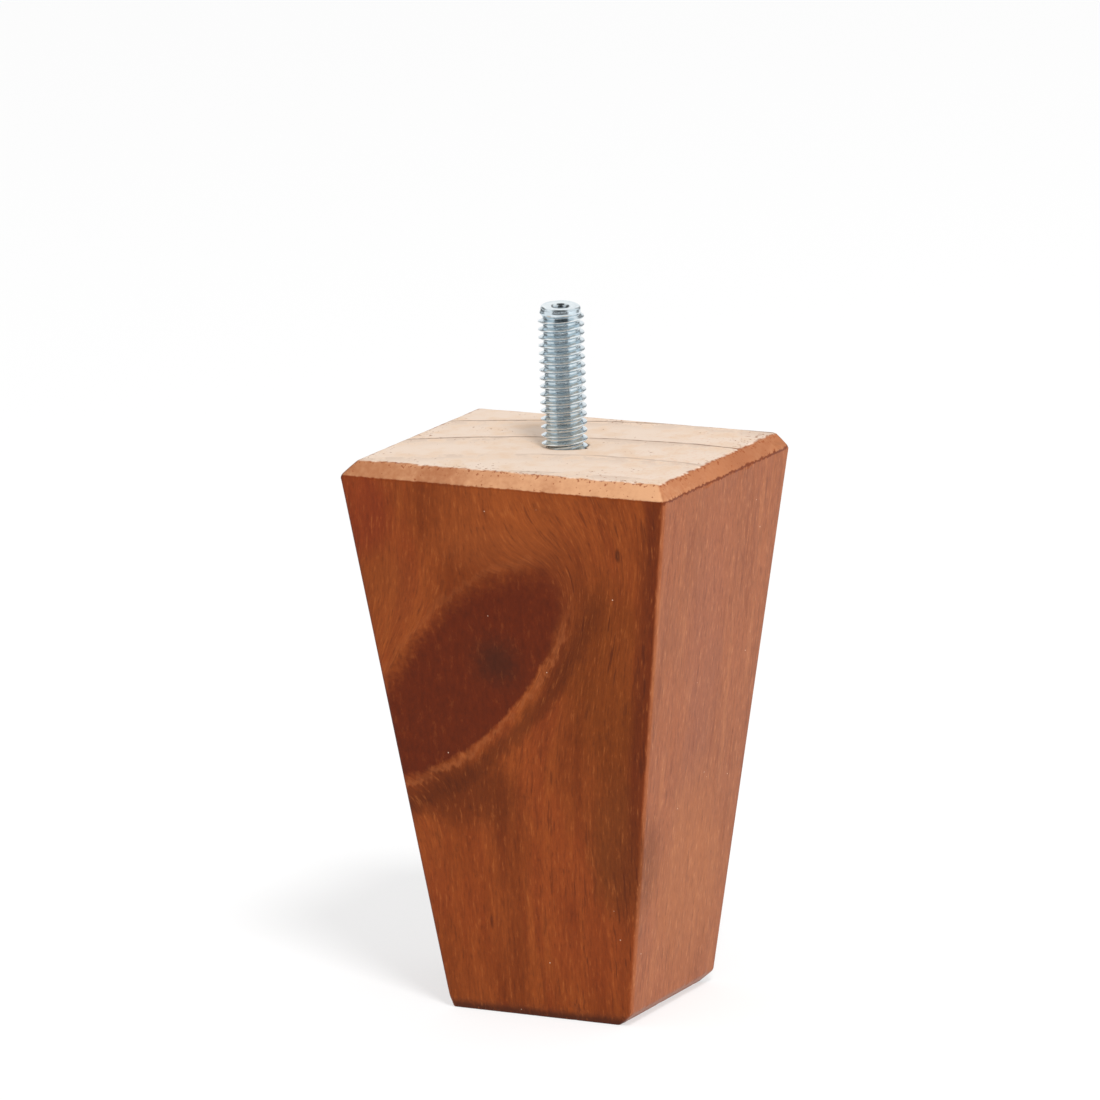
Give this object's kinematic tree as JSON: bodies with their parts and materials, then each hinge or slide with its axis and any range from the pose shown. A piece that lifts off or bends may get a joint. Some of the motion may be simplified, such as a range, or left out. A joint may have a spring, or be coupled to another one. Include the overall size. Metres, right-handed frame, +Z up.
{
  "type": "wooden furniture leg",
  "caption": "Tapered wooden furniture leg with chamfered top and foot, and a hanger bolt standing out of its top face.",
  "frame": {"origin": "middle of the foot, on the floor", "axes": "+Z up along the bolt, -Y the front, one of the two wider faces, +X to the right of the front"},
  "size_m": [0.062, 0.047, 0.1214],
  "materials": {
    "stained_wood": "reddish brown stain under semi-gloss lacquer, bare end grain on the top face",
    "zinc_plated_steel": "bright zinc plating"
  },
  "bodies": {
    "root": {"leg_block": "stained_wood", "hanger_bolt": "zinc_plated_steel"}
  },
  "joints": []
}
